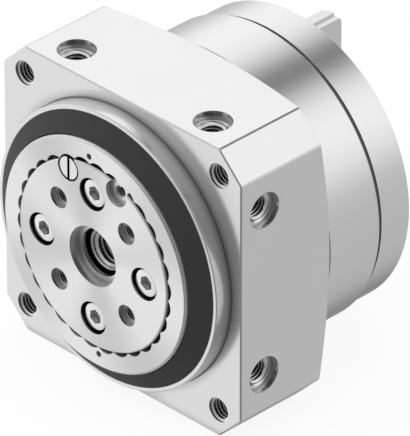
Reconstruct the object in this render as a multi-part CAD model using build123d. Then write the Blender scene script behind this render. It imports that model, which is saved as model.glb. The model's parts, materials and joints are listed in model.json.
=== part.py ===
from build123d import *
import os
from math import cos, radians, sin, sqrt, tan

# Rotary swivel drive. Millimetres. The drive axis is Y and the output faces -Y.
# Y = 0 is the flat front face of the square block, Z is up.
# An angle is counted round the drive axis from +X towards +Z.

# Square block
block_width = 100.0
block_depth = 37.3
corner_cut = 9.1
edge_break = 0.4
rear_cone_angle = 15.0
seat_step = 0.6
lip_width = 1.35
boss_height = 6.1
boss_lip_break = 0.25
boss_foot_radius = 0.2
seal_step = 2.15
cavity_step = 1.0
register_step = 0.5
register_depth = 10.3

# Tapped holes for fastening the block: M8
m8_radius = 4.0
corner_hole_inset = 9.2
corner_hole_depth = 20.0
side_hole_inset = 21.4
side_hole_setback = 9.75
side_hole_depth = 12.0
side_recess_radius = 6.0
side_recess_depth = 2.6
side_sink_radius = 4.9

# Ball bearing of the output
bearing_wall = 7.5
bearing_section = 14.5
bearing_width = 15.5
ball_radius = 4.6
ball_count = 20
race_play = 0.3
pocket_play = 0.1
race_gap = 4.1
cage_play = 0.4
cage_width = 11.5
inner_ring_proud = 0.5

# Output flange
flange_rise = 5.9
disc_lap = 3.2
disc_thickness = 4.0
disc_break = 0.4
neck_wall = 0.6
neck_length = 6.0
recess_radius = 9.8
recess_depth = 3.3
pilot_radius = 7.8
pilot_depth = 2.3
pilot_groove_width = 1.1
pilot_groove_depth = 1.0
m12_radius = 6.0
m12_depth = 18.5
m12_sink = 0.35
m4_radius = 2.0
load_hole_inset = 1.4
load_recess_radius = 3.5
load_recess_depth = 1.6
load_hole_depth = 9.0
cap_inset = 6.4
cap_recess_radius = 5.35
cap_recess_depth = 5.9
m5_radius = 2.5
m5_head_radius = 4.36
m5_head_height = 5.0
m5_socket = 4.0
socket_depth = 2.6
m5_clearance = 0.25
hub_spigot_radius = 12.0
hub_spigot_height = 3.0
hub_screw_room = 2.6

# Lock of the bearing play: scalloped ring and slotted screw
ring_drop = 0.5
seal_width = 6.25
ring_break = 0.6
ring_play = 0.2
scallop_count = 30
scallop_radius = 4.3
lock_inset = 2.95
lock_angle = 21.0
lock_pocket_depth = 1.9
lock_head_radius = 3.9
lock_head_drop = 0.1
lock_thread_depth = 6.0
slot_width = 1.0
slot_depth = 0.9
spanner_hole_radius = 1.0
spanner_gap = 2.6
spanner_hole_depth = 3.0
spanner_angle = 93.0

# Front seal and bearing retainer
seal_gap = 0.3
seal_rise = 4.3
seal_thickness = 2.4
retainer_height = 2.0
retainer_gap = 0.5

# Round housings
drum_inset = 0.5
drum_break = 0.8
drum_length = 21.3
groove_width = 2.0
groove_depth = 2.0
cover_step = 1.0
cover_length = 12.0
cover_break = 0.3
cover_boss_radius = 18.0
cover_boss_height = 1.4
front_wall = 12.0
spigot_length = 7.3
bush_nose_wall = 3.0
bush_nose_length = 4.0
chamber_wall = 2.05
port_radius = 4.5
port_depth = 6.5
port_flat_radius = 7.0
port_flat_depth = 0.6
port_passage_radius = 2.0
port_angle = 30.0
port_setback = 8.0

# Vane shaft and what turns with it
shaft_play = 0.05
end_play = 0.3
front_journal_radius = 12.0
rear_journal_radius = 10.0
nose_radius = 9.0
web_thickness = 4.2
shaft_end_radius = 8.0
shaft_end_break = 1.0
bush_wall = 3.0
rear_seal_width = 3.0
drive_hub_lap = 2.5
drive_hub_thickness = 6.0
drive_hub_boss_radius = 14.0
drive_hub_gap = 0.5
key_width = 5.0
key_height = 5.0
key_setback = 1.3
key_margin = 1.0
m8_head_radius = 6.5
m8_head_height = 2.2
hub_screw_length = 14.0
dowel_radius = 2.5
dowel_length = 9.0
dowel_inset = 5.5
dowel_angle = 22.5
vane_thickness = 7.0
vane_root = 9.0
vane_seal_width = 1.7
vane_seal_thickness = 4.0

# Fixed wall of the chamber
stator_half_angle = 24.0
stator_seal_width = 4.0
stator_seal_height = 3.0
stator_pin_radius = 2.5
stator_pin_inset = 10.5
stator_pin_angle = 9.0
stator_pin_bite = 6.0

# Long screws and pins that hold the housings together: M5
tie_rim = 0.95
tie_angles = (0.0, 45.0, 135.0, 180.0, 225.0, 315.0)
tie_recess_radius = 4.75
tie_recess_depth = 5.4
tie_bite = 13.0
pin_radius = 2.0
pin_inset = 5.0
pin_bite = 6.0
o_ring_radius = 1.0
o_ring_setback = 3.0

# Stop lever and its stop
lever_gap = 1.2
lever_thickness = 13.8
lever_hub_radius = 15.5
lever_tip_inset = 7.2
lever_tip_width = 7.0
lever_root_width = 18.0
lever_root_height = 11.0
lever_tip_length = 14.3
lever_tip_round = 1.6
rib_width = 2.2
rib_height = 0.8
clamp_half_width = 9.0
clamp_drop = 20.0
clamp_slit = 1.6
clamp_screw_drop = 14.0
swing_half_angle = 135.0
buffer_gap = 0.3
buffer_thickness = 3.0
buffer_width = 10.0
buffer_inset = 7.0
stop_clamp_gap = 4.0
stop_inset = 8.0
stop_height = 14.0
stop_screw_angle = 20.0
stop_screw_inset = 7.0
stop_recess_depth = 5.4
stop_screw_bite = 8.0

# Overshoot of cutting tools past a face
cut = 1.0


def turned(*points):
    """A solid of revolution about the drive axis; points are (radius, Y)."""
    return revolve(make_face(Polyline(*points, close=True)), Axis.Y)


def tube(inner, outer, front, rear):
    return turned((inner, front), (outer, front), (outer, rear), (inner, rear))


def rod(radius, front, rear):
    return tube(0, radius, front, rear)


def on_circle(shape, radius, angles):
    """Copies of a shape on a circle round the drive axis, one per angle."""
    return [Rot(Y=-angle) * Pos(radius, 0, 0) * shape for angle in angles]


def prism(front, rear, *points):
    """A solid with an outline of (X, Z) points, from one Y to another."""
    outline = make_face(Polyline(*[(x, front, z) for x, z in points], close=True))
    return extrude(outline, amount=rear - front, dir=(0, 1, 0))


def box(x0, x1, y0, y1, z0, z1):
    return prism(y0, y1, (x0, z0), (x1, z0), (x1, z1), (x0, z1))


def hexagon_hole(across_flats, front, rear):
    corner = across_flats / 2 / cos(radians(30))
    points = [(corner * cos(radians(a)), corner * sin(radians(a))) for a in range(0, 360, 60)]
    return prism(front, rear, *points)


def cap_screw(head_radius, head_height, radius, head_front, tip):
    """Socket-head cap screw along +Y."""
    seat = head_front + head_height
    screw = rod(head_radius, head_front, seat) + rod(radius, seat, tip)
    return screw - hexagon_hole(m5_socket, head_front - cut, head_front + socket_depth)


def save(name, *solids):
    shape = solids[0] if len(solids) == 1 else Compound(children=list(solids))
    export_step(shape, f"parts/{name}.step")


quarter_turns = (0, 90, 180, 270)
diagonals = (45, 135, 225, 315)
ball_angles = [i * 360 / ball_count for i in range(ball_count)]

# Radii and spacings, each tied to what carries it
half_width = block_width / 2
corner_hole_spacing = block_width - 2 * corner_hole_inset
side_hole_spacing = block_width - 2 * side_hole_inset
bearing_outer_radius = half_width - bearing_wall
bearing_bore_radius = bearing_outer_radius - bearing_section
ball_pitch_radius = bearing_outer_radius - bearing_section / 2
seal_bore_radius = bearing_outer_radius + seal_step
boss_radius = seal_bore_radius + lip_width
ring_outer_radius = seal_bore_radius - seal_width
disc_radius = bearing_bore_radius + disc_lap
lock_circle_radius = disc_radius - lock_inset
neck_radius = lock_circle_radius + m4_radius + neck_wall
spanner_circle_radius = disc_radius + spanner_gap
cap_circle_radius = bearing_bore_radius - cap_inset
load_circle_radius = cap_circle_radius - load_hole_inset
dowel_circle_radius = bearing_bore_radius - dowel_inset
drive_hub_radius = bearing_bore_radius + drive_hub_lap
drum_radius = half_width - drum_inset
drum_seat_radius = drum_radius - seat_step
cover_radius = drum_radius - cover_step
groove_floor_radius = cover_radius - groove_depth
tie_circle_radius = cover_radius - tie_recess_radius - tie_rim
pin_circle_radius = cover_radius - pin_inset
chamber_radius = tie_circle_radius - m5_radius - m5_clearance - chamber_wall
register_radius = chamber_radius + register_step
cavity_radius = register_radius - cavity_step
hub_radius = front_journal_radius + bush_wall
bush_nose_radius = hub_radius + bush_nose_wall
stator_pin_circle_radius = chamber_radius - stator_pin_inset
lever_tip_radius = cover_radius - lever_tip_inset
lever_neck_height = lever_tip_radius - lever_tip_length
stop_outer_radius = cover_radius - stop_inset
stop_inner_radius = clamp_drop + stop_clamp_gap
stop_screw_radius = stop_inner_radius + stop_screw_inset
buffer_radius = stop_outer_radius - buffer_inset

# Stations along the axis
flange_face = -boss_height - flange_rise
ring_face = flange_face + ring_drop
seal_lip_face = -boss_height - seal_rise
ring_rear = flange_face + disc_thickness + neck_length
bearing_front = ring_rear
bearing_rear = bearing_front + inner_ring_proud + bearing_width
outer_ring_front = bearing_front + inner_ring_proud
race_middle = outer_ring_front + bearing_width / 2
retainer_front = outer_ring_front - retainer_height
seal_floor = retainer_front
register_floor = block_depth - register_depth
drum_front = block_depth
drum_rear = drum_front + drum_length
cover_front = drum_rear + groove_width
cover_rear = cover_front + cover_length
spigot_front = drum_front - spigot_length
chamber_front = spigot_front + front_wall
chamber_rear = cover_front
hub_front = chamber_front + end_play
hub_rear = chamber_rear - end_play
web_front = bearing_rear - hub_spigot_height
nose_front = web_front + web_thickness
nose_shoulder = spigot_front - bush_nose_length - drive_hub_gap
key_front = nose_front + key_setback
key_rear = nose_shoulder - key_margin
key_top = nose_radius + key_height / 2
port_station = chamber_front + port_setback
o_ring_station = spigot_front + o_ring_setback
journal_rear = cover_rear + cover_boss_height + buffer_gap
lever_front = cover_rear + cover_boss_height + lever_gap
lever_rear = lever_front + lever_thickness
shaft_rear = lever_rear + shaft_end_break
stop_rear = cover_rear + stop_height

# Places at the stop
stop_face_offset = lever_tip_width / 2 + buffer_gap + buffer_thickness
stop_screw_angles = (270 - stop_screw_angle, 270 + stop_screw_angle)
clamp_screw_reach = 2 * clamp_half_width - cut
clamp_screw_place = Pos(clamp_half_width, (lever_front + lever_rear) / 2, -clamp_screw_drop) * Rot(Z=90)


def bearing_housing():
    half = half_width
    flat = half - corner_cut
    block = prism(0, block_depth, (-flat, -half), (flat, -half), (half, -flat), (half, flat),
                  (flat, half), (-flat, half), (-half, flat), (-half, -flat))
    front_face = block.faces().sort_by(Axis.Y)[0]
    block = chamfer(front_face.edges() + block.edges().filter_by(Axis.Y), edge_break)
    far = block_width
    cone_rise = (far - drum_seat_radius) * tan(radians(rear_cone_angle))
    block &= turned((0, -cut), (far, -cut), (far, block_depth - cone_rise),
                    (drum_seat_radius, block_depth), (0, block_depth))
    boss_front = -boss_height
    lip = boss_lip_break
    foot = boss_foot_radius
    block += turned((0, boss_front), (boss_radius - lip, boss_front), (boss_radius, boss_front + lip),
                    (boss_radius, -foot), (boss_radius + foot * 0.3, -foot * 0.3),
                    (boss_radius + foot, 0), (0, 0))
    block -= turned((0, boss_front - cut), (seal_bore_radius, boss_front - cut),
                    (seal_bore_radius, outer_ring_front), (bearing_outer_radius, outer_ring_front),
                    (bearing_outer_radius, bearing_rear), (cavity_radius, bearing_rear),
                    (cavity_radius, register_floor), (register_radius, register_floor),
                    (register_radius, block_depth + cut), (0, block_depth + cut))
    corner_tool = rod(m8_radius, -cut, corner_hole_depth)
    reach = corner_hole_spacing / sqrt(2)
    block -= on_circle(corner_tool, reach, diagonals)
    sink_rear = side_recess_depth + side_sink_radius - m8_radius
    side_tool = turned((0, -cut), (side_recess_radius, -cut), (side_recess_radius, side_recess_depth),
                       (side_sink_radius, side_recess_depth), (m8_radius, sink_rear),
                       (m8_radius, side_hole_depth), (0, side_hole_depth))
    for turn in quarter_turns:
        for side in (-1, 1):
            place = Pos(side * side_hole_spacing / 2, side_hole_setback, half) * Rot(X=-90)
            block -= Rot(Y=turn) * place * side_tool
    block -= on_circle(rod(m5_radius, block_depth - tie_bite, block_depth + cut), tie_circle_radius, tie_angles)
    pins = on_circle(rod(pin_radius, block_depth - pin_bite, block_depth + cut), pin_circle_radius, (90, 270))
    return block - pins


def output_flange():
    disc_rear = flange_face + disc_thickness
    body = turned((0, flange_face), (disc_radius - disc_break, flange_face),
                  (disc_radius, flange_face + disc_break), (disc_radius, disc_rear),
                  (neck_radius, disc_rear), (neck_radius, ring_rear), (bearing_bore_radius, ring_rear),
                  (bearing_bore_radius, bearing_rear), (0, bearing_rear))
    step = flange_face + recess_depth
    nose = step + pilot_depth
    groove_floor = nose + pilot_groove_depth
    nose_edge = pilot_radius - pilot_groove_width
    body -= turned((0, flange_face - cut), (recess_radius, flange_face - cut), (recess_radius, step),
                   (pilot_radius, step), (pilot_radius, groove_floor), (nose_edge, groove_floor),
                   (nose_edge, nose), (m12_radius + m12_sink, nose), (m12_radius, nose + m12_sink),
                   (m12_radius, flange_face + m12_depth), (0, flange_face + m12_depth))
    tapped = turned((0, flange_face - cut), (load_recess_radius, flange_face - cut),
                    (load_recess_radius, flange_face + load_recess_depth),
                    (m5_radius, flange_face + load_recess_depth), (m5_radius, flange_face + load_hole_depth),
                    (0, flange_face + load_hole_depth))
    body -= on_circle(tapped, load_circle_radius, diagonals)
    seat = flange_face + cap_recess_depth
    screw_hole = turned((0, flange_face - cut), (cap_recess_radius, flange_face - cut),
                        (cap_recess_radius, seat), (m5_radius + m5_clearance, seat),
                        (m5_radius + m5_clearance, bearing_rear + cut), (0, bearing_rear + cut))
    body -= on_circle(screw_hole, cap_circle_radius, quarter_turns)
    pocket_floor = flange_face + lock_pocket_depth
    pocket = turned((0, flange_face - cut), (scallop_radius, flange_face - cut),
                    (scallop_radius, pocket_floor), (m4_radius, pocket_floor),
                    (m4_radius, pocket_floor + lock_thread_depth), (0, pocket_floor + lock_thread_depth))
    body -= on_circle(pocket, lock_circle_radius, (90 - lock_angle, 90 + lock_angle))
    body -= rod(hub_spigot_radius, web_front, bearing_rear + cut)
    body -= rod(m8_head_radius + m5_clearance, web_front - hub_screw_room, bearing_rear)
    dowel = rod(dowel_radius, bearing_rear - dowel_length / 2, bearing_rear + cut)
    return body - on_circle(dowel, dowel_circle_radius, (dowel_angle,))


def lock_ring():
    inner = disc_radius + ring_play
    scallop_floor = flange_face + disc_thickness + ring_play
    body = turned((inner, ring_face), (ring_outer_radius - ring_break, ring_face),
                  (ring_outer_radius, ring_face + ring_break), (ring_outer_radius, ring_rear),
                  (neck_radius, ring_rear), (neck_radius, scallop_floor), (inner, scallop_floor))
    pitch = 360 / scallop_count
    first = 90 + lock_angle
    scallop = rod(scallop_radius, ring_face - cut, scallop_floor)
    body -= on_circle(scallop, lock_circle_radius, [first + i * pitch for i in range(scallop_count)])
    spanner = rod(spanner_hole_radius, ring_face - cut, ring_face + spanner_hole_depth)
    return body - on_circle(spanner, spanner_circle_radius, (spanner_angle, spanner_angle + 180))


def lock_screw():
    top = flange_face + lock_head_drop
    seat = flange_face + lock_pocket_depth
    screw = rod(lock_head_radius, top, seat) + rod(m4_radius, seat, seat + lock_thread_depth - cut)
    angle = 90 + lock_angle
    place = Pos(lock_circle_radius * cos(radians(angle)), 0, lock_circle_radius * sin(radians(angle)))
    half = slot_width / 2
    reach = lock_head_radius + cut
    return place * (screw - box(-half, half, top - cut, top + slot_depth, -reach, reach))


def flange_screws():
    seat = flange_face + cap_recess_depth
    tip = bearing_rear + drive_hub_thickness - 1
    screw = cap_screw(m5_head_radius, m5_head_height, m5_radius, seat - m5_head_height, tip)
    return on_circle(screw, cap_circle_radius, quarter_turns)


def front_seal():
    lip = ring_outer_radius + seal_gap
    land = seal_bore_radius - 3
    return turned((lip, seal_lip_face), (seal_bore_radius, -boss_height), (seal_bore_radius, seal_floor),
                  (land, seal_floor), (land, seal_floor - 1.2), (lip, seal_lip_face + seal_thickness))


def bearing_retainer():
    return tube(ring_outer_radius + retainer_gap, seal_bore_radius, retainer_front, outer_ring_front)


def bearing_rings():
    race = Pos(ball_pitch_radius, race_middle) * Circle(ball_radius + race_play)
    outer_bore = ball_pitch_radius + race_gap / 2
    inner_face = ball_pitch_radius - race_gap / 2
    outer = Polyline((outer_bore, outer_ring_front), (bearing_outer_radius, outer_ring_front),
                     (bearing_outer_radius, bearing_rear), (outer_bore, bearing_rear), close=True)
    inner = Polyline((bearing_bore_radius, bearing_front), (inner_face, bearing_front),
                     (inner_face, bearing_rear), (bearing_bore_radius, bearing_rear), close=True)
    return [revolve(make_face(profile) - race, Axis.Y) for profile in (outer, inner)]


def bearing_cage():
    inner = ball_pitch_radius - race_gap / 2 + cage_play
    outer = ball_pitch_radius + race_gap / 2 - cage_play
    body = tube(inner, outer, race_middle - cage_width / 2, race_middle + cage_width / 2)
    pocket = Pos(0, race_middle, 0) * Rot(Y=90) * Cylinder(ball_radius + pocket_play, 4 * race_gap)
    return body - on_circle(pocket, ball_pitch_radius, ball_angles)


def bearing_balls():
    ball = Pos(0, race_middle, 0) * Sphere(ball_radius)
    return on_circle(ball, ball_pitch_radius, ball_angles)


def drive_hub():
    flange_rear = bearing_rear + drive_hub_thickness
    body = turned((0, web_front), (hub_spigot_radius, web_front), (hub_spigot_radius, bearing_rear),
                  (drive_hub_radius, bearing_rear), (drive_hub_radius, flange_rear),
                  (drive_hub_boss_radius, flange_rear), (drive_hub_boss_radius, nose_shoulder),
                  (0, nose_shoulder))
    body -= rod(nose_radius, nose_front - end_play, nose_shoulder + cut)
    body -= rod(m8_radius + m5_clearance, web_front - cut, nose_front)
    body -= on_circle(rod(m5_radius, bearing_rear - cut, flange_rear + cut), cap_circle_radius, quarter_turns)
    dowel = rod(dowel_radius, bearing_rear - cut, bearing_rear + dowel_length / 2)
    body -= on_circle(dowel, dowel_circle_radius, (dowel_angle,))
    half = key_width / 2
    return body - box(-half, half, nose_front, nose_shoulder + cut, 0, key_top)


def key_space():
    half = key_width / 2
    return box(-half, half, key_front, key_rear, key_top - key_height, key_top)


def hub_screw():
    head = rod(m8_head_radius, web_front - m8_head_height, web_front)
    screw = head + rod(m8_radius, web_front, web_front + hub_screw_length)
    socket_rear = web_front - m8_head_height + m8_head_height / 2
    return screw - hexagon_hole(m5_socket, web_front - m8_head_height - cut, socket_rear)


def flange_dowel():
    half = dowel_length / 2
    return on_circle(rod(dowel_radius, bearing_rear - half, bearing_rear + half), dowel_circle_radius,
                     (dowel_angle,))[0]


def vane_core():
    half = vane_thickness / 2
    tip = chamber_radius - end_play - vane_seal_width
    return box(-half, half, hub_front + vane_seal_width, hub_rear - vane_seal_width, vane_root, tip)


def vane_seal():
    half = vane_seal_thickness / 2
    tip = chamber_radius - end_play
    frame = box(-half, half, hub_front, hub_rear, 0, tip) & rod(tip, hub_front, hub_rear)
    return frame - vane_core() - rod(hub_radius, hub_front, hub_rear)


def vane_shaft():
    body = turned((0, nose_front), (nose_radius, nose_front), (nose_radius, nose_shoulder),
                  (front_journal_radius, nose_shoulder), (front_journal_radius, hub_front),
                  (hub_radius, hub_front), (hub_radius, hub_rear), (rear_journal_radius, hub_rear),
                  (rear_journal_radius, journal_rear), (shaft_end_radius, journal_rear),
                  (shaft_end_radius, shaft_rear - shaft_end_break),
                  (shaft_end_radius - shaft_end_break, shaft_rear), (0, shaft_rear))
    body -= rod(m8_radius, nose_front - cut, web_front + hub_screw_length)
    return body - key_space() - vane_core()


def vane_housing():
    nose = spigot_front - bush_nose_length
    body = turned((0, nose), (bush_nose_radius, nose), (bush_nose_radius, spigot_front),
                  (register_radius, spigot_front), (register_radius, drum_front),
                  (drum_radius - drum_break, drum_front), (drum_radius, drum_front + drum_break),
                  (drum_radius, drum_rear), (groove_floor_radius, drum_rear),
                  (groove_floor_radius, cover_front), (0, cover_front))
    body -= rod(chamber_radius, chamber_front, cover_front + cut)
    body -= rod(hub_radius, nose - cut, chamber_front + cut)
    groove_half = o_ring_radius + shaft_play
    body -= tube(register_radius - 2 * o_ring_radius, register_radius + cut,
                 o_ring_station - groove_half, o_ring_station + groove_half)
    tie_hole = rod(m5_radius + m5_clearance, drum_front - cut, cover_front + cut)
    body -= on_circle(tie_hole, tie_circle_radius, tie_angles)
    body -= on_circle(rod(pin_radius, drum_front - cut, drum_front + pin_bite), pin_circle_radius, (90, 270))
    body -= stator_pin_bodies()
    flat = drum_radius - port_flat_depth
    port = turned((0, -cut * 2), (port_flat_radius, -cut * 2), (port_flat_radius, 0), (port_radius, 0),
                  (port_radius, port_depth), (port_passage_radius, port_depth),
                  (port_passage_radius, drum_radius - chamber_radius + cut * 2),
                  (0, drum_radius - chamber_radius + cut * 2))
    for angle in (270 - port_angle, 270 + port_angle):
        body -= Rot(Y=-angle) * Pos(flat, port_station, 0) * Rot(Z=90) * port
    return body


def rear_cover():
    boss_rear = cover_rear + cover_boss_height
    body = turned((0, cover_front), (cover_radius, cover_front), (cover_radius, cover_rear - cover_break),
                  (cover_radius - cover_break, cover_rear), (cover_boss_radius, cover_rear),
                  (cover_boss_radius, boss_rear), (0, boss_rear))
    body -= rod(rear_journal_radius + bush_wall, cover_front - cut, boss_rear + cut)
    tie_hole = rod(m5_radius + m5_clearance, cover_front - cut, cover_rear)
    tie_hole += rod(tie_recess_radius, cover_rear - tie_recess_depth, cover_rear + cut)
    body -= on_circle(tie_hole, tie_circle_radius, tie_angles)
    body -= stator_pin_bodies()
    stop_hole = rod(m5_radius, cover_rear - stop_screw_bite, cover_rear + cut)
    return body - on_circle(stop_hole, stop_screw_radius, stop_screw_angles)


def stator_pin_bodies():
    pin = rod(stator_pin_radius, chamber_front - stator_pin_bite, chamber_rear + stator_pin_bite)
    return on_circle(pin, stator_pin_circle_radius, (270 - stator_pin_angle, 270 + stator_pin_angle))


def stator_seal():
    half = stator_seal_width / 2
    inner = hub_radius + end_play
    strip = tube(inner, inner + stator_seal_height, chamber_front, chamber_rear)
    return strip & box(-half, half, chamber_front, chamber_rear, -chamber_radius, 0)


def stator():
    body = tube(hub_radius + end_play, chamber_radius, chamber_front, chamber_rear)
    drop = 2 * chamber_radius
    spread = drop * tan(radians(stator_half_angle))
    body &= prism(chamber_front, chamber_rear, (0, 0), (-spread, -drop), (spread, -drop))
    return body - stator_seal() - stator_pin_bodies()


def tie_screws():
    head = cover_rear - tie_recess_depth + m5_head_height
    length = head - (drum_front - tie_bite + cut)
    screw = cap_screw(m5_head_radius, m5_head_height, m5_radius, 0, length)
    return on_circle(Pos(0, head, 0) * Rot(X=180) * screw, tie_circle_radius, tie_angles)


def locating_pins():
    pin = rod(pin_radius, drum_front - pin_bite, drum_front + pin_bite)
    return on_circle(pin, pin_circle_radius, (90, 270))


def stop_lever():
    tip = lever_tip_width / 2
    root = lever_root_width / 2
    arm = prism(lever_front, lever_rear, (-root, 0), (root, 0), (root, lever_root_height),
                (tip, lever_neck_height), (tip, lever_tip_radius), (-tip, lever_tip_radius),
                (-tip, lever_neck_height), (-root, lever_root_height))
    tip_edge = arm.faces().sort_by(Axis.Z)[-1].edges().sort_by(Axis.Y)[-1]
    arm = fillet(tip_edge, lever_tip_round)
    rib = rib_width / 2
    arm += box(-rib, rib, lever_front, lever_rear - lever_tip_round / 2,
               lever_tip_radius - lever_tip_round, lever_tip_radius + rib_height)
    body = arm + rod(lever_hub_radius, lever_front, lever_rear)
    body += box(-clamp_half_width, clamp_half_width, lever_front, lever_rear, -clamp_drop, 0)
    body -= rod(shaft_end_radius, lever_front - cut, lever_rear + cut)
    slit = clamp_slit / 2
    body -= box(-slit, slit, lever_front - cut, lever_rear + cut, -clamp_drop - cut, 0)
    hole = rod(m5_radius + m5_clearance, tie_recess_depth, clamp_half_width)
    hole += rod(tie_recess_radius, -cut, tie_recess_depth) + rod(m5_radius, clamp_half_width, clamp_screw_reach)
    return body - clamp_screw_place * hole


def lever_screw():
    drop = tie_recess_depth - m5_head_height
    screw = cap_screw(m5_head_radius, m5_head_height, m5_radius, drop, clamp_screw_reach - cut)
    return clamp_screw_place * screw


def stop_block():
    body = tube(stop_inner_radius, stop_outer_radius, cover_rear, stop_rear)
    apex = -stop_face_offset / sin(radians(swing_half_angle))
    far = 3 * stop_outer_radius
    side = far * sin(radians(swing_half_angle))
    low = apex + far * cos(radians(swing_half_angle))
    body &= prism(cover_rear, stop_rear, (0, apex), (-side, low), (side, low))
    hole = rod(m5_radius + m5_clearance, cover_rear - cut, stop_rear)
    hole += rod(tie_recess_radius, stop_rear - stop_recess_depth, stop_rear + cut)
    return body - on_circle(hole, stop_screw_radius, stop_screw_angles)


def stop_screws():
    head = stop_rear - stop_recess_depth + m5_head_height
    length = head - (cover_rear - stop_screw_bite + cut)
    screw = cap_screw(m5_head_radius, m5_head_height, m5_radius, 0, length)
    return on_circle(Pos(0, head, 0) * Rot(X=180) * screw, stop_screw_radius, stop_screw_angles)


def stop_buffers():
    near = buffer_radius - buffer_width / 2
    flank = lever_tip_width / 2 + buffer_gap
    middle = (lever_front + stop_rear) / 2
    half = buffer_width / 2
    right = box(near, near + buffer_width, middle - half, middle + half, -stop_face_offset, -flank)
    left = box(near, near + buffer_width, middle - half, middle + half, flank, stop_face_offset)
    return Rot(Y=swing_half_angle - 90) * right, Rot(Y=-swing_half_angle - 90) * left


os.makedirs("parts", exist_ok=True)

save("bearing_housing", bearing_housing())
save("front_seal", front_seal())
save("bearing_retainer", bearing_retainer())
outer_ring, inner_ring = bearing_rings()
save("bearing_outer_ring", outer_ring)
save("bearing_inner_ring", inner_ring)
save("bearing_cage", bearing_cage())
save("bearing_balls", *bearing_balls())

save("output_flange", output_flange())
save("lock_ring", lock_ring())
save("lock_screw", lock_screw())
save("flange_screws", *flange_screws())
save("flange_dowel", flange_dowel())
save("drive_hub", drive_hub())
save("hub_key", key_space())
save("hub_screw", hub_screw())
save("vane_shaft", vane_shaft())
save("vane", vane_core())
save("vane_seal", vane_seal())

save("vane_housing", vane_housing())
save("rear_cover", rear_cover())
save("joint_seal", tube(groove_floor_radius, cover_radius - cover_break, drum_rear, cover_front))
ring_section = Pos(register_radius - o_ring_radius, o_ring_station) * Circle(o_ring_radius)
save("register_o_ring", revolve(ring_section, Axis.Y))
front_bush_bore = front_journal_radius + shaft_play
save("front_bush", tube(front_bush_bore, hub_radius,
                        spigot_front - bush_nose_length, chamber_front))
seal_front = cover_rear + cover_boss_height - rear_seal_width
rear_bush_bore = rear_journal_radius + shaft_play
save("rear_bush", tube(rear_bush_bore, rear_journal_radius + bush_wall, cover_front, seal_front))
save("shaft_seal", tube(rear_journal_radius + end_play, rear_journal_radius + bush_wall, seal_front,
                        seal_front + rear_seal_width))
save("stator", stator())
save("stator_seal", stator_seal())
save("stator_pins", *stator_pin_bodies())
save("tie_screws", *tie_screws())
save("locating_pins", *locating_pins())

save("stop_lever", stop_lever())
save("lever_screw", lever_screw())
save("stop_block", stop_block())
save("stop_screws", *stop_screws())
save("stop_buffers", *stop_buffers())
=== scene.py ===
import json
import math
from collections import namedtuple

import bmesh
import bpy
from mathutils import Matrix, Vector


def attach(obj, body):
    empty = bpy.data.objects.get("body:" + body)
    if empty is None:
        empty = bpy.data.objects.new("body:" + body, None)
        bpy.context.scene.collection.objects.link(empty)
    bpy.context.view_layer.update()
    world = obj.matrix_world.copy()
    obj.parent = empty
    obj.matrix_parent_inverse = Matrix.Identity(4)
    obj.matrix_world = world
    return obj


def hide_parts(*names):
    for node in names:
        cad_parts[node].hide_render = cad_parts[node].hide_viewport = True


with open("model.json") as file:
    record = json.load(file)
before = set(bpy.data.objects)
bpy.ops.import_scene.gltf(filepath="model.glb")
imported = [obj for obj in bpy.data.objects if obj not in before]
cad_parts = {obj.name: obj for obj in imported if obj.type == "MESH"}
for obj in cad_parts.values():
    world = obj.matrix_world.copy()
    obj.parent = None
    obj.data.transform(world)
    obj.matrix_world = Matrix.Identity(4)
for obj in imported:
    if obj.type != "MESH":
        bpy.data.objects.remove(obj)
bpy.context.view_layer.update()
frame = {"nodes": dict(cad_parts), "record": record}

nodes = frame["nodes"]
mounts = {mount["name"]: mount["dims"] for mount in frame["record"]["mounts"]}
MM = 0.001

# Camera, fitted to the photograph
AZIMUTH = math.radians(45.18)
ELEVATION = math.radians(32.16)
TARGET = Vector((4.87, 30.0, -2.98)) * MM
DISTANCE = 2963 * MM
FOCAL_LENGTH = 820.6
SENSOR_WIDTH = 36
TO_CAMERA = Vector((math.sin(AZIMUTH) * math.cos(ELEVATION),
                    -math.cos(AZIMUTH) * math.cos(ELEVATION),
                    math.sin(ELEVATION)))

# Places on the object, in millimetres. An angle is in degrees round the drive axis, from +X towards +Z,
# and a groove with painted shade is its inner and outer radius and where that shade starts and ends along
# the axis
FRONT = Vector((0, -1, 0))
REAR = Vector((0, 1, 0))
RIGHT = Vector((1, 0, 0))
BLOCK_HALF = 50.0
BLOCK_BOTTOM = -50.0
CORNER_HOLE = mounts["body_bolts"]["spacing_x_mm"] / 2
SIDE_HOLE = mounts["top_bolts"]["spacing_x_mm"] / 2
SIDE_HOLE_SETBACK = 9.75
# Painted shade line in the crease at the foot of the boss
BOSS_FOOT_SHADE = (45.92, 46.34, -0.50, -0.15)
FLANGE_FACE = -12.0
DISC_HOLE_RADIUS = mounts["output_bolts"]["pcd_mm"] / 2
DISC_HOLE_ANGLES = (45, 135, 225, 315)
# Painted shade in the groove at the foot of the pilot
PILOT_GROOVE_SHADE = (6.74, 7.84, -7.6, -7.3)
LOCK_RADIUS = 28.25
LOCK_SCREW_ANGLE = 111
# Radius past which the lock screw is painted dark, as shade in the gap round its head
LOCK_SCREW_RIM = 3.64
EMPTY_LOCK_ANGLE = 69
SPANNER_RADIUS = 33.8
SPANNER_ANGLES = (93, 273)
# Radius of the painted shade that darkens each spanner hole
SPANNER_HOLE_RIM = 0.98
PORT_FLAT = 48.9
PORT_SETBACK = 50.0
PORT_ANGLES = (240, 300)

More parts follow.
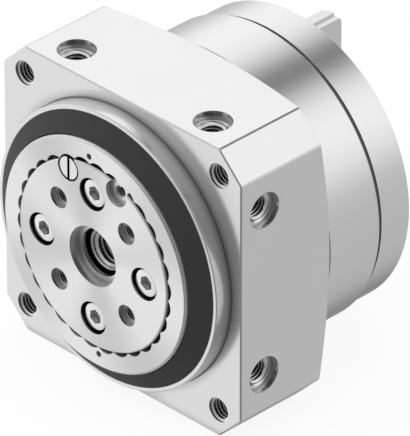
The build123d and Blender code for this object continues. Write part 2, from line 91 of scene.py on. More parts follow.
# Tapped holes: the thread's radius and pitch, the radius of its mouth, and its first and last depth
Tap = namedtuple("Tap", "radius pitch mouth first last")
CORNER_TAP = Tap(4.0, 1.25, 4.0, 0.45, 19.5)
SIDE_TAP = Tap(4.0, 1.25, 4.7, 2.7, 11.8)
DISC_TAP = Tap(2.5, 0.8, 2.5, 1.75, 8.8)
EMPTY_LOCK_TAP = Tap(2.0, 0.7, 2.0, 2.05, 7.7)
CENTRE_TAP = Tap(6.0, 1.75, 6.0, 6.15, 18.3)
PORT_TAP = Tap(4.5, 0.907, 4.5, 0.1, 6.3)

# Section of a thread's ridge, as shares of the pitch
ROOT_HALF = 0.49
FOOT_HALF = 0.38
CREST_HALF = 0.09
CREST_HEIGHT = 0.54
# The root's height, and how deep the ridge is let into the wall, in millimetres
ROOT_HEIGHT = 0.07
WALL_DEPTH = 0.03
# The ridge starts a share of the pitch past its first depth, and rises there from a share of its height.
# Its section's points stay a step apart at the mouth, and it runs out over a part of its last turn
START_SHARE = 0.10
FIRST_RISE = 0.1
FIRST_SLOPE = 2.5
MOUTH_STEP = 0.002
RUN_OUT_TURNS = 0.4
# The strips of the section that are bright: its flanks and crest. The root strips are painted dark as shade
BRIGHT_STRIPS = (2, 3, 4)

# Cap screws: radius of the head, width of the hexagon and length with the head.
# A break is (inset from the head's radius, depth) from its front face to its side
Cap = namedtuple("Cap", "head socket length")
DISC_CAP = Cap(4.50, 4.3, 30.1)
TIE_CAP = Cap(4.36, 4.0, 46.9)
STOP_CAP = Cap(4.36, 4.0, 20.6)
CLAMP_CAP = Cap(4.36, 4.0, 15.6)
CLAMP_PLACE = (8.6, 82.1, -14.0)
HEAD_HEIGHT = 5.0
HEAD_BREAK = ((0.42, 0.0), (0.16, 0.06), (0.03, 0.22), (0.0, 0.42))
SOCKET_DEPTH = HEAD_HEIGHT * 0.52
SOCKET_TIP = (0.4, SOCKET_DEPTH + 0.75)
SHANK_RADIUS = 2.5
SHANK_BREAK = 0.5

# Circles of cap screws: radius, place of the heads' front along the axis, and angles
Circle = namedtuple("Circle", "radius along angles")
DISC_CIRCLE = Circle(21.6, -11.1, (0, 90, 180, 270))
TIE_CIRCLE = Circle(42.8, 72.2, (0, 45, 135, 180, 225, 315))
STOP_CIRCLE = Circle(31.0, 86.2, (250, 290))

# Finish. Tones are shares of white. A hollow gets painted shade in its colour, by the share of the sky that
# its wall sees
METAL_TONE = 0.87
HOLLOW_SHADE = 0.14
# Tone of the painted shade line at the foot of the boss
FOOT_SHADE = 0.32
CLOUD_SPREAD = 0.012
LINE_SPREAD = 0.03
METAL_CONTRAST = (0.95, 1.03)
SOFT_CONTRAST = (0.90, 1.10)
NOISE_RANGE = (0.3, 0.7)
# Shares of the sky seen at which the painted shade of a hollow is full, and at which it is gone
CLOSED_SHARE = 0.12
OPEN_SHARE = 0.80
LEAST_SHARE_SPAN = 0.40
DULL_METAL_SHARE = 0.3
PATCH_BLUR = 0.05
# Painted sheen of a faced piece, laid into its colour: strength and angle of its fans, and of its brighter
# side
PaintedSheen = namedtuple("PaintedSheen", "amount phase lean lean_phase")
DISC_PAINTED_SHEEN = PaintedSheen(0.12, 57, 0.28, 352)
RING_PAINTED_SHEEN = PaintedSheen(0.14, 81, 0.12, 160)
FAN_COUNT = 4.0
LEAN_SHARPNESS = 10.0
# Radii of softened edges, in metres
THIN_EDGE = 0.00010
EDGE = 0.00015
BLOCK_EDGE = 0.00018
SOFT_EDGE = 0.00020


# Node trees

def new_material(name):
    material = bpy.data.materials.new(name)
    material.use_nodes = True
    tree = material.node_tree
    tree.nodes.clear()
    output = tree.nodes.new("ShaderNodeOutputMaterial")
    return material, tree, output


def add(tree, kind, **settings):
    node = tree.nodes.new(kind)
    for key, value in settings.items():
        setattr(node, key, value)
    return node


def link(tree, source, socket, target, entry):
    tree.links.new(source.outputs[socket], target.inputs[entry])


def feed(tree, entry, value):
    """Links another node's output to an entry, or sets the entry to a plain value."""
    if isinstance(value, bpy.types.NodeSocket):
        tree.links.new(value, entry)
    else:
        entry.default_value = value


def math_node(tree, operation, first, second=None):
    node = add(tree, "ShaderNodeMath", operation=operation)
    feed(tree, node.inputs[0], first)
    if second is not None:
        feed(tree, node.inputs[1], second)
    return node.outputs[0]


def vector_node(tree, operation, first, second=None):
    node = add(tree, "ShaderNodeVectorMath", operation=operation)
    feed(tree, node.inputs[0], first)
    if second is not None:
        feed(tree, node.inputs["Scale" if operation == "SCALE" else 1], second)
    return node.outputs["Value" if operation in ("LENGTH", "DOT_PRODUCT") else "Vector"]


def mix_colour(tree, factor, first, second):
    node = add(tree, "ShaderNodeMix", data_type="RGBA")
    tree.links.new(factor, node.inputs["Factor"])
    feed(tree, node.inputs["A"], first)
    feed(tree, node.inputs["B"], second)
    return node.outputs["Result"]


def map_range(tree, value, low, high, to_low, to_high):
    node = add(tree, "ShaderNodeMapRange")
    tree.links.new(value, node.inputs["Value"])
    node.inputs["From Min"].default_value = low
    node.inputs["From Max"].default_value = high
    node.inputs["To Min"].default_value = to_low
    node.inputs["To Max"].default_value = to_high
    return node.outputs["Result"]


def noise(tree, vector, scale, detail, dimensions="3D"):
    node = add(tree, "ShaderNodeTexNoise", noise_dimensions=dimensions)
    tree.links.new(vector, node.inputs["W" if dimensions == "1D" else "Vector"])
    node.inputs["Scale"].default_value = scale
    node.inputs["Detail"].default_value = detail
    return node.outputs["Fac"]


def object_place(tree):
    return add(tree, "ShaderNodeTexCoord").outputs["Object"]


def split_axes(tree, vector):
    split = add(tree, "ShaderNodeSeparateXYZ")
    tree.links.new(vector, split.inputs[0])
    return split.outputs["X"], split.outputs["Y"], split.outputs["Z"]


def axis_radius(tree):
    """A point of the object, its distance from the drive axis and its place along it."""
    place = object_place(tree)
    x, y, z = split_axes(tree, place)
    square = math_node(tree, "ADD", math_node(tree, "POWER", x, 2.0), math_node(tree, "POWER", z, 2.0))
    return place, math_node(tree, "SQRT", square), y


def neutral(value):
    return (value, value, value)


def grey(value):
    return (value, value, value, 1.0)


def two_tones(colour, contrast):
    """The colour made darker and lighter."""
    return [tuple(min(1.0, part * share) for part in colour) + (1.0,) for share in contrast]


def principled(tree, output, metallic, roughness, anisotropic=0.0):
    shader = add(tree, "ShaderNodeBsdfPrincipled")
    shader.inputs["Metallic"].default_value = metallic
    shader.inputs["Roughness"].default_value = roughness
    shader.inputs["Anisotropic"].default_value = anisotropic
    link(tree, shader, "BSDF", output, "Surface")
    return shader


def tint(tree, shader, pattern, dark, light, hollow_shade=None, reach=0.006, closed=CLOSED_SHARE, patches=()):
    """The shader's colour runs between two tones with a pattern, and gets painted shade deep in holes and
    corners.

    Each patch is a factor laid over that colour, a painted shade or a painted sheen. It gives back the
    factor of the painted shade in the hollows.
    """
    colour = mix_colour(tree, pattern, dark, light)
    open_share = None
    if hollow_shade is not None:
        # Painted shade: the colour darkens where little of the sky is seen
        cover = add(tree, "ShaderNodeAmbientOcclusion", samples=16)
        cover.inputs["Distance"].default_value = reach
        fully_open = max(OPEN_SHARE, closed + LEAST_SHARE_SPAN)
        open_share = map_range(tree, cover.outputs["AO"], closed, fully_open, hollow_shade, 1.0)
        colour = vector_node(tree, "SCALE", colour, open_share)
    for patch in patches:
        colour = vector_node(tree, "SCALE", colour, patch)
    tree.links.new(colour, shader.inputs["Base Color"])
    return open_share


def round_patch(tree, place, radius, degrees, edge, inside, outside):
    """Factor with one tone within an edge distance of a line along the drive axis and another past it."""
    turn = math.radians(degrees)
    centre = (radius * MM * math.cos(turn), 0.0, radius * MM * math.sin(turn))
    apart = vector_node(tree, "SUBTRACT", place, centre)
    length = vector_node(tree, "LENGTH", vector_node(tree, "MULTIPLY", apart, (1.0, 0.0, 1.0)))
    return map_range(tree, length, (edge - PATCH_BLUR) * MM, (edge + PATCH_BLUR) * MM, inside, outside)


def groove_shade(tree, radius, along, groove, tone):
    """Painted shade: factor 1 that falls to a darker tone in a ring groove."""
    inner, outer, start, end = [size * MM for size in groove]
    outside = math_node(tree, "MAXIMUM", math_node(tree, "LESS_THAN", radius, inner),
                        math_node(tree, "GREATER_THAN", radius, outer))
    return math_node(tree, "MAXIMUM", outside, map_range(tree, along, start, end, 1.0, tone))


def vary_roughness(tree, shader, pattern, roughness, spread):
    rough = map_range(tree, pattern, *NOISE_RANGE, roughness - spread, roughness + spread)
    tree.links.new(rough, shader.inputs["Roughness"])


def relief(tree, shader, height, strength, distance, edge_radius=None):
    """Bump from a height, laid over softened edges."""
    bump = add(tree, "ShaderNodeBump")
    bump.inputs["Strength"].default_value = strength
    bump.inputs["Distance"].default_value = distance
    tree.links.new(height, bump.inputs["Height"])
    if edge_radius:
        bevel = add(tree, "ShaderNodeBevel", samples=6)
        bevel.inputs["Radius"].default_value = edge_radius
        link(tree, bevel, "Normal", bump, "Normal")
    link(tree, bump, "Normal", shader, "Normal")


def turned_highlight(tree, shader):
    """Stretches highlights across the fine marks that run round the drive axis."""
    tangent = add(tree, "ShaderNodeTangent", direction_type="RADIAL", axis="Y")
    link(tree, tangent, "Tangent", shader, "Tangent")


def painted_sheen_fans(tree, fans):
    """Painted sheen: factor about 1 that varies round the drive axis in soft fans, with one side brighter.
    """
    x, _, z = split_axes(tree, object_place(tree))
    angle = math_node(tree, "ARCTAN2", z, x)
    turn = math_node(tree, "SUBTRACT", angle, math.radians(fans.phase))
    wave = math_node(tree, "COSINE", math_node(tree, "MULTIPLY", turn, FAN_COUNT))
    lean_turn = math_node(tree, "SUBTRACT", angle, math.radians(fans.lean_phase))
    off = math_node(tree, "SUBTRACT", math_node(tree, "COSINE", lean_turn), 1.0)
    side = math_node(tree, "EXPONENT", math_node(tree, "MULTIPLY", off, LEAN_SHARPNESS))
    total = math_node(tree, "ADD", math_node(tree, "MULTIPLY", wave, fans.amount),
                      math_node(tree, "MULTIPLY", side, fans.lean))
    return math_node(tree, "ADD", total, 1.0)


# Materials

def anodised_aluminium(name, value, roughness, edge_radius):
    """Evenly blasted metal, with a painted shade line in the crease at the foot of the block's boss."""
    material, tree, output = new_material(name)
    shader = principled(tree, output, metallic=1.0, roughness=roughness)
    place, radius, along = axis_radius(tree)
    grain = noise(tree, place, scale=2600, detail=5)
    cloud = noise(tree, place, scale=45, detail=3)
    # Painted shade: a dark line at the foot of the boss
    foot = groove_shade(tree, radius, along, BOSS_FOOT_SHADE, FOOT_SHADE)
    dark = grey(value - CLOUD_SPREAD)
    light = grey(value + CLOUD_SPREAD)
    tint(tree, shader, cloud, dark, light, HOLLOW_SHADE, patches=[foot])
    vary_roughness(tree, shader, grain, roughness, spread=0.02)
    relief(tree, shader, grain, strength=0.025, distance=0.00002, edge_radius=edge_radius)
    return material


def turned_aluminium(name, value, roughness, edge_radius):
    """Anodised metal that shows its fine turning marks."""
    material, tree, output = new_material(name)
    shader = principled(tree, output, metallic=1.0, roughness=roughness, anisotropic=0.25)
    place, radius, along = axis_radius(tree)
    lines = noise(tree, math_node(tree, "ADD", radius, along), scale=9000, detail=3, dimensions="1D")
    grain = noise(tree, place, scale=2400, detail=3)
    cloud = noise(tree, place, scale=40, detail=3)
    tint(tree, shader, cloud, grey(value - CLOUD_SPREAD), grey(value + CLOUD_SPREAD), HOLLOW_SHADE)
    vary_roughness(tree, shader, lines, roughness, spread=0.03)
    height = math_node(tree, "ADD", lines, math_node(tree, "MULTIPLY", grain, 0.5))
    relief(tree, shader, height, strength=0.05, distance=0.00002, edge_radius=edge_radius)
    turned_highlight(tree, shader)
    return material


def faced_steel(name, value, roughness, fans, hollow_shade, groove_shade_tone=None, hole_shade=None):
    """Lathe-faced steel: fine round grain, the real sheen that turns with it, and fans of painted sheen in
    its colour.

    A groove shade tone paints shade into the pilot's groove. A hole shade paints the spanner holes dark as
    shade and dulls every hollow.
    """
    material, tree, output = new_material(name)
    shader = principled(tree, output, metallic=1.0, roughness=roughness, anisotropic=0.6)
    place, radius, along = axis_radius(tree)
    lines = noise(tree, math_node(tree, "ADD", radius, along), scale=6000, detail=4, dimensions="1D")
    cloud = noise(tree, place, scale=60, detail=3)
    mixed = math_node(tree, "ADD", math_node(tree, "MULTIPLY", lines, 0.6),
                      math_node(tree, "MULTIPLY", cloud, 0.4))
    # Painted sheen: fans of lighter and darker colour round the axis
    patches = [painted_sheen_fans(tree, fans)]
    if groove_shade_tone:
        # Painted shade in the pilot's groove
        patches.append(groove_shade(tree, radius, along, PILOT_GROOVE_SHADE, groove_shade_tone))
    if hole_shade:
        # Painted shade: the spanner holes are painted near black
        for degrees in SPANNER_ANGLES:
            hole = round_patch(tree, place, SPANNER_RADIUS, degrees, SPANNER_HOLE_RIM, hole_shade, 1.0)
            patches.append(hole)
    dark = grey(value - LINE_SPREAD)
    light = grey(value + LINE_SPREAD)
    open_share = tint(tree, shader, mixed, dark, light, hollow_shade, patches=patches)
    if hole_shade:
        metal_share = map_range(tree, open_share, hollow_shade, 1.0, DULL_METAL_SHARE, 1.0)
        tree.links.new(metal_share, shader.inputs["Metallic"])
    vary_roughness(tree, shader, lines, roughness, spread=0.04)
    relief(tree, shader, lines, strength=0.10, distance=0.00003, edge_radius=EDGE)
    turned_highlight(tree, shader)
    return material


def plain_metal(name, colour, roughness, scale=1800, strength=0.06, edge_radius=None, hollow_shade=0.5,
                reach=0.004, closed=CLOSED_SHARE, rim_shade=None):
    """Metal with fine grain and painted shade in its hollows. A rim shade paints it dark as shade outside
    the lock screw's rim.
    """
    material, tree, output = new_material(name)
    shader = principled(tree, output, metallic=1.0, roughness=roughness)
    place = object_place(tree)
    grain = noise(tree, place, scale, detail=4)
    dark, light = two_tones(colour, METAL_CONTRAST)
    patches = []
    # Painted shade in the gap round the lock screw's head
    if rim_shade:
        rim = round_patch(tree, place, LOCK_RADIUS, LOCK_SCREW_ANGLE, LOCK_SCREW_RIM, 1.0, rim_shade)
        patches.append(rim)
    tint(tree, shader, grain, dark, light, hollow_shade, reach, closed, patches)
    vary_roughness(tree, shader, grain, roughness, spread=0.04)
    relief(tree, shader, grain, strength, distance=0.00003, edge_radius=edge_radius)
    return material


def soft_plastic(name, colour, roughness, scale, edge_radius=None):
    """Rubber or elastomer with a fine moulded grain."""
    material, tree, output = new_material(name)
    shader = principled(tree, output, metallic=0.0, roughness=roughness)
    grain = noise(tree, object_place(tree), scale, detail=5)
    dark, light = two_tones(colour, SOFT_CONTRAST)
    tint(tree, shader, grain, dark, light)
    vary_roughness(tree, shader, grain, roughness, spread=0.06)
    relief(tree, shader, grain, strength=0.15, distance=0.00004, edge_radius=edge_radius)
    return material


block_metal = anodised_aluminium("Anodised_block", METAL_TONE, roughness=0.20, edge_radius=BLOCK_EDGE)
drum_metal = turned_aluminium("Turned_drum", METAL_TONE, roughness=0.22, edge_radius=BLOCK_EDGE)
faced_disc = faced_steel("Faced_steel_disc", METAL_TONE, 0.28, DISC_PAINTED_SHEEN, hollow_shade=0.24, groove_shade_tone=0.10)
# The ring's spanner holes are painted dark as shade
faced_ring = faced_steel("Faced_steel_ring", METAL_TONE, 0.28, RING_PAINTED_SHEEN, hollow_shade=0.30, hole_shade=0.04)
screw_steel = plain_metal("Screw_steel", neutral(0.95), roughness=0.16, edge_radius=THIN_EDGE)
# The slotted screw gets painted shade in its slot and a dark painted rim
slotted_steel = plain_metal("Slotted_screw_steel", neutral(0.92), roughness=0.18, edge_radius=THIN_EDGE,
                            hollow_shade=0.05, reach=0.0012, closed=0.52, rim_shade=0.03)
groove_seal = soft_plastic("Joint_seal_rubber", neutral(0.075), roughness=0.55, scale=3000)
thread_metal = plain_metal("Cut_thread", neutral(0.86), roughness=0.25, hollow_shade=0.04, reach=0.0014)
small_thread = plain_metal("Small_cut_thread", neutral(0.50), roughness=0.22, hollow_shade=0.04, reach=0.0011)
# Painted shade: near-black copy of the thread's metal for the roots
thread_root_shade = plain_metal("Thread_root_painted_shade", neutral(0.03), roughness=0.45)
ground_steel = plain_metal("Ground_steel", neutral(0.66), roughness=0.25, edge_radius=EDGE)
bearing_steel = plain_metal("Bearing_steel", (0.74, 0.74, 0.75), roughness=0.12)
brass = plain_metal("Cage_brass", (0.78, 0.60, 0.30), roughness=0.30)
bronze = plain_metal("Sintered_bronze", (0.62, 0.43, 0.24), roughness=0.45, scale=1200, strength=0.3)
lever_metal = plain_metal("Milled_lever", neutral(0.86), roughness=0.36, scale=1500, strength=0.10,
                          edge_radius=SOFT_EDGE)
seal_rubber = soft_plastic("Seal_rubber", neutral(0.022), roughness=0.62, scale=3000, edge_radius=EDGE)
buffer = soft_plastic("Buffer_elastomer", (0.62, 0.47, 0.16), roughness=0.50, scale=1500,
                      edge_radius=SOFT_EDGE)

by_slot = {
    "body_anodised": block_metal,
    "drum_anodised": drum_metal,
    "turned_steel": faced_disc,
    "screw_steel": screw_steel,
    "ground_steel": ground_steel,
    "bearing_steel": bearing_steel,
    "cage_brass": brass,
    "bush_bronze": bronze,
    "seal_rubber": seal_rubber,
    "inner_aluminium": block_metal,
    "lever_aluminium": lever_metal,
    "buffer_plastic": buffer,
}


def paint(thing, material):
    thing.data.materials.clear()
    thing.data.materials.append(material)


for row in frame["record"]["subparts"]:
    paint(nodes[row["node"]], by_slot[row["material_slot"]])
paint(nodes["lock_ring"], faced_ring)
paint(nodes["lock_screw"], slotted_steel)
paint(nodes["joint_seal"], groove_seal)


# Pieces built round an axis

def at_angle(radius, degrees, along):
    turn = math.radians(degrees)
    return radius * math.cos(turn), along, radius * math.sin(turn)


def place_round(centre, axis, start_angle=0.0, start=None):
    """Function from (radius, angle, depth) to a point; depth counts along minus the axis."""
    inward = -Vector(axis).normalized()
    side = start or (Vector((1, 0, 0)) if abs(inward.x) < 0.9 else Vector((0, 1, 0)))
    side = (side - inward * side.dot(inward)).normalized()
    across = inward.cross(side)
    centre = Vector(centre) * MM

    def point(radius, angle, depth):
        turn = angle + start_angle
        outward = side * math.cos(turn) + across * math.sin(turn)
        return centre + outward * radius * MM + inward * depth * MM
    return point


def finish_mesh(name, mesh, material, body_name, sharp_angle=32):
    tool = bmesh.new()
    tool.from_mesh(mesh)
    bmesh.ops.remove_doubles(tool, verts=tool.verts, dist=1e-7)
    bmesh.ops.recalc_face_normals(tool, faces=tool.faces)
    tool.to_mesh(mesh)
    tool.free()
    for face in mesh.polygons:
        face.use_smooth = True
    mesh.set_sharp_from_angle(angle=math.radians(sharp_angle))
    thing = bpy.data.objects.new(name, mesh)
    bpy.context.scene.collection.objects.link(thing)
    paint(thing, material)
    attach(thing, body_name)
    return thing


def lathe(name, centre, axis, rings, material, body_name, segments=72, start_angle=0.0):
    """A closed piece from rings of (radius, depth), whose ends are flat.

    A radius may be a function of the angle.
    """
    point = place_round(centre, axis, start_angle)
    verts = []
    for radius, depth in rings:
        for i in range(segments):
            angle = 2 * math.pi * i / segments
            verts.append(point(radius(angle) if callable(radius) else radius, angle, depth))
    faces = []
    for k in range(len(rings) - 1):
        for i in range(segments):
            j = (i + 1) % segments
            a = k * segments
            b = a + segments
            faces.append((a + i, a + j, b + j, b + i))
    faces.append(tuple(range(segments)))
    faces.append(tuple(range((len(rings) - 1) * segments, len(rings) * segments)))
    mesh = bpy.data.meshes.new(name)
    mesh.from_pydata(verts, [], faces)
    return finish_mesh(name, mesh, material, body_name)


def hexagon(across_flats):
    def radius(angle):
        return across_flats / 2 / math.cos((angle % (math.pi / 3)) - math.pi / 6)
    return radius


def cap_screw(name, centre, axis, cap, body_name, degrees=0.0):
    """Socket-head cap screw whose head's front is at the centre point."""
    flat = hexagon(cap.socket)
    rings = [SOCKET_TIP, (flat, SOCKET_DEPTH), (flat, 0.0)]
    rings += [(cap.head - inset, depth) for inset, depth in HEAD_BREAK]
    rings += [
        (cap.head, HEAD_HEIGHT),
        (SHANK_RADIUS, HEAD_HEIGHT),
        (SHANK_RADIUS, cap.length - SHANK_BREAK),
        (SHANK_RADIUS - SHANK_BREAK, cap.length),
    ]
    return lathe(name, centre, axis, rings, screw_steel, body_name,
                 start_angle=math.radians(degrees))


def thread_profile(pitch):
    """Points of the ridge's section as (share of the pitch along the axis, height in millimetres)."""
    crest = CREST_HEIGHT * pitch
    rising = ((-ROOT_HALF, 0.0), (-ROOT_HALF, ROOT_HEIGHT), (-FOOT_HALF, ROOT_HEIGHT), (-CREST_HALF, crest))
    return rising + tuple((-offset, height) for offset, height in reversed(rising))


def thread(name, centre, axis, tap, body_name, material=None, segments=40):
    """The turned ridge of a tapped hole, with its root painted dark as shade.

    It begins on the side nearest the camera.
    """
    profile = thread_profile(tap.pitch)
    count = len(profile)
    point = place_round(centre, axis, start=TO_CAMERA)
    start = tap.first + START_SHARE * tap.pitch
    steps = int((tap.last - start - 0.5 * tap.pitch) / tap.pitch * segments)
    verts = []
    for i in range(steps + 1):
        angle = 2 * math.pi * i / segments
        middle = start + tap.pitch * i / segments
        share = min(1.0, (steps - i + 1) / (RUN_OUT_TURNS * segments))
        for k, (offset, height) in enumerate(profile):
            depth = max(tap.first + MOUTH_STEP * k, middle + offset * tap.pitch)
            wall = max(tap.radius, tap.mouth - (depth - tap.first)) + WALL_DEPTH
            rise = min(height * share, FIRST_SLOPE * (depth - tap.first) + height * FIRST_RISE)
            verts.append(point(wall - rise, angle, depth))
    faces = []
    for i in range(steps):
        a = count * i
        b = a + count
        for k in range(count):
            j = (k + 1) % count
            faces.append((a + k, a + j, b + j, b + k))
    faces.append(tuple(range(count)))
    faces.append(tuple(count * steps + k for k in range(count)))
    mesh = bpy.data.meshes.new(name)
    mesh.from_pydata(verts, [], faces)
    thing = finish_mesh(name, mesh, material or thread_metal, body_name)
    # The root strips get the painted shade
    mesh.materials.append(thread_root_shade)
    for i, face in enumerate(mesh.polygons):
        if i % count not in BRIGHT_STRIPS:
            face.material_index = 1
    return thing


# Threads of the tapped holes
for i, (x, z) in enumerate(((1, 1), (-1, 1), (-1, -1), (1, -1))):
    mouth = (CORNER_HOLE * x, 0, CORNER_HOLE * z)
    thread(f"Corner_thread_{i + 1}", mouth, FRONT, CORNER_TAP, "housing")
for side, axis in (("top", (0, 0, 1)), ("right", (1, 0, 0)), ("bottom", (0, 0, -1)), ("left", (-1, 0, 0))):
    axis = Vector(axis)
    across = axis.cross(FRONT)
    for i, shift in enumerate((-SIDE_HOLE, SIDE_HOLE)):
        mouth = axis * BLOCK_HALF + across * shift + REAR * SIDE_HOLE_SETBACK
        thread(f"Thread_{side}_{i + 1}", mouth, axis, SIDE_TAP, "housing")
for i, degrees in enumerate(DISC_HOLE_ANGLES):
    mouth = at_angle(DISC_HOLE_RADIUS, degrees, FLANGE_FACE)
    thread(f"Disc_thread_{i + 1}", mouth, FRONT, DISC_TAP, "output", small_thread)
mouth = at_angle(LOCK_RADIUS, EMPTY_LOCK_ANGLE, FLANGE_FACE)
thread("Pocket_thread", mouth, FRONT, EMPTY_LOCK_TAP, "output", small_thread)
thread("Centre_thread", (0, FLANGE_FACE, 0), FRONT, CENTRE_TAP, "output", segments=56)
for i, degrees in enumerate(PORT_ANGLES):
    mouth = Vector(at_angle(PORT_FLAT, degrees, PORT_SETBACK))
    outward = Vector(at_angle(1, degrees, 0))
    thread(f"Port_thread_{i + 1}", mouth, outward, PORT_TAP, "housing")


# Cap screws

def cap_circle(name, circle, axis, cap, body_name, first_turn=0, turn_step=0):
    """Cap screws on a circle round the drive axis, each socket turned a step further than the last."""
    caps = []
    for i, degrees in enumerate(circle.angles):
        head = at_angle(circle.radius, degrees, circle.along)
        turn = first_turn + turn_step * i
        caps.append(cap_screw(f"{name}_{i + 1}", head, axis, cap, body_name, turn))
    return caps


flange_caps = cap_circle("Disc_screw", DISC_CIRCLE, FRONT, DISC_CAP, "output", first_turn=30)
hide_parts("flange_screws")
tie_caps = cap_circle("Tie_screw", TIE_CIRCLE, REAR, TIE_CAP, "housing", turn_step=15)
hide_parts("tie_screws")
stop_caps = cap_circle("Stop_screw", STOP_CIRCLE, REAR, STOP_CAP, "housing", turn_step=20)
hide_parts("stop_screws")
lever_cap = cap_screw("Clamp_screw", CLAMP_PLACE, RIGHT, CLAMP_CAP, "output")
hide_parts("lever_screw")


# Studio. Reflections see a pale room behind the part, a dim one in front, and soft patches in both.
# The rear room's tones go by the height of the direction, and the front room's by its side
REAR_TONES = ((-1.0, 0.50), (-0.66, 0.52), (-0.25, 0.53), (-0.05, 0.58), (0.12, 0.75), (0.30, 0.92),
              (0.48, 1.0), (1.0, 1.0))
FRONT_TONES = ((-1.0, 0.95), (-0.75, 0.70), (-0.40, 0.50), (0.0, 0.38), (0.3, 0.24), (1.0, 0.20))
ROOM_BLEND = 0.30
# A patch is its direction, how sharp it is, and how much it takes or adds
DARK_PATCHES = (
    ((-0.01, 0.60, 0.80), 24.0, 0.90),
    ((-0.30, 0.60, -0.745), 20.0, 0.52),
    ((-0.22, 0.96, -0.16), 22.0, 0.70),
)
LIGHT_PATCHES = (
    ((-0.66, -0.55, -0.52), 9.0, 0.12),
    ((-0.88, -0.17, -0.45), 25.0, 0.45),
    ((-0.60, -0.60, -0.53), 90.0, 0.10),
    ((-0.78, 0.60, 0.16), 28.0, 0.14),
    ((0.35, -0.60, 0.72), 12.0, 0.10),
)
SOFT_LIGHT = 1.04
LAMP_PLACE = (-0.9, -1.0, 1.6)
LAMP_POWER = 14.0
LAMP_SIZE = 1.4
FLOOR_REACH = 6.0
FLOOR_GAP = 0.2
FLOOR_TONE = 0.85
FLOOR_WHITE_SHARE = 0.90


def floor_material():
    """Pale diffuse floor that the camera sees mostly as white, so that a little of the shadow stays."""
    material, tree, output = new_material("Floor_white")
    surface = add(tree, "ShaderNodeBsdfDiffuse")
    surface.inputs["Color"].default_value = grey(FLOOR_TONE)
    glow = add(tree, "ShaderNodeEmission")
    glow.inputs["Color"].default_value = grey(1.0)
    path = add(tree, "ShaderNodeLightPath")
    seen = math_node(tree, "MAXIMUM", path.outputs["Is Camera Ray"], path.outputs["Is Glossy Ray"])
    seen = math_node(tree, "MAXIMUM", seen, path.outputs["Is Transmission Ray"])
    mix = add(tree, "ShaderNodeMixShader")
    tree.links.new(math_node(tree, "MULTIPLY", seen, FLOOR_WHITE_SHARE), mix.inputs["Fac"])
    tree.links.new(surface.outputs[0], mix.inputs[1])
    tree.links.new(glow.outputs[0], mix.inputs[2])
    link(tree, mix, "Shader", output, "Surface")
    return material


def make_floor():
    height = (BLOCK_BOTTOM - FLOOR_GAP) * MM
    corners = [(FLOOR_REACH * x, FLOOR_REACH * y, height) for x, y in ((-1, -1), (1, -1), (1, 1), (-1, 1))]
    mesh = bpy.data.meshes.new("Floor")
    mesh.from_pydata(corners, [], [(0, 1, 2, 3)])
    thing = bpy.data.objects.new("Floor", mesh)
    bpy.context.scene.collection.objects.link(thing)
    paint(thing, floor_material())
    thing.visible_glossy = False
    thing.visible_transmission = False


def tone_ramp(tree, value, stops):
    """Grey tone that follows a value through (value, tone) stops, from -1 to 1."""
    node = add(tree, "ShaderNodeValToRGB")
    tree.links.new(map_range(tree, value, -1.0, 1.0, 0.0, 1.0), node.inputs["Fac"])
    bar = node.color_ramp
    for element, (place, tone) in zip(bar.elements, (stops[0], stops[-1])):
        element.position = (place + 1) / 2
        element.color = grey(tone)
    for place, tone in stops[1:-1]:
        bar.elements.new((place + 1) / 2).color = grey(tone)
    return node.outputs["Color"]


def lobe(tree, direction, centre, sharpness):
    """Soft round patch of the studio about a direction: 1 in its middle, falling to 0."""
    dot = vector_node(tree, "DOT_PRODUCT", direction, Vector(centre).normalized())
    exponent = math_node(tree, "MULTIPLY", math_node(tree, "SUBTRACT", dot, 1.0), sharpness)
    return math_node(tree, "EXPONENT", exponent)


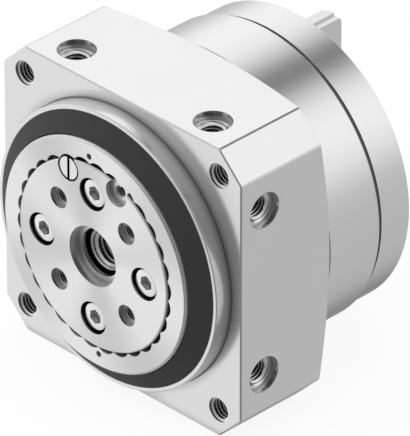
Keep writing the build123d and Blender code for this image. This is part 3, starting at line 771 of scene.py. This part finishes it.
def make_world():
    """Reflections see the studio, and everything else sees one plain tone."""
    world = bpy.data.worlds.new("Studio")
    bpy.context.scene.world = world
    world.use_nodes = True
    sky = world.node_tree
    sky.nodes.clear()
    output = add(sky, "ShaderNodeOutputWorld")
    direction = add(sky, "ShaderNodeTexCoord").outputs["Generated"]
    x, y, z = split_axes(sky, direction)
    rear_share = map_range(sky, y, -ROOM_BLEND, ROOM_BLEND, 0.0, 1.0)
    room = mix_colour(sky, rear_share, tone_ramp(sky, x, FRONT_TONES), tone_ramp(sky, z, REAR_TONES))
    for centre, sharpness, depth in DARK_PATCHES:
        share = math_node(sky, "MULTIPLY", lobe(sky, direction, centre, sharpness), depth)
        room = vector_node(sky, "SCALE", room, math_node(sky, "SUBTRACT", 1.0, share))
    for centre, sharpness, strength in LIGHT_PATCHES:
        share = math_node(sky, "MULTIPLY", lobe(sky, direction, centre, sharpness), strength)
        room = vector_node(sky, "ADD", room, share)
    shade = add(sky, "ShaderNodeBackground")
    reflected = add(sky, "ShaderNodeLightPath").outputs["Is Glossy Ray"]
    sky.links.new(mix_colour(sky, reflected, grey(SOFT_LIGHT), room), shade.inputs["Color"])
    link(sky, shade, "Background", output, "Surface")


def make_lamp():
    """Wide key light above and to the left of the camera, which reflections don't see."""
    light = bpy.data.lights.new("Key_light", "AREA")
    light.energy = LAMP_POWER
    light.shape = "DISK"
    light.size = LAMP_SIZE
    lamp = bpy.data.objects.new("Key_light", light)
    bpy.context.scene.collection.objects.link(lamp)
    lamp.visible_glossy = False
    lamp.location = LAMP_PLACE
    lamp.rotation_mode = "QUATERNION"
    lamp.rotation_quaternion = (TARGET - Vector(LAMP_PLACE)).to_track_quat("-Z", "Y")


def make_camera():
    camera_data = bpy.data.cameras.new("Camera")
    camera_data.lens = FOCAL_LENGTH
    camera_data.sensor_width = SENSOR_WIDTH
    camera_data.clip_start = 0.1
    camera_data.clip_end = 50
    camera = bpy.data.objects.new("Camera", camera_data)
    bpy.context.scene.collection.objects.link(camera)
    camera.location = TARGET + TO_CAMERA * DISTANCE
    camera.rotation_mode = "QUATERNION"
    camera.rotation_quaternion = (-TO_CAMERA).to_track_quat("-Z", "Y")
    bpy.context.scene.camera = camera


make_floor()
make_world()
make_lamp()
make_camera()
bpy.context.scene.view_settings.view_transform = "Standard"
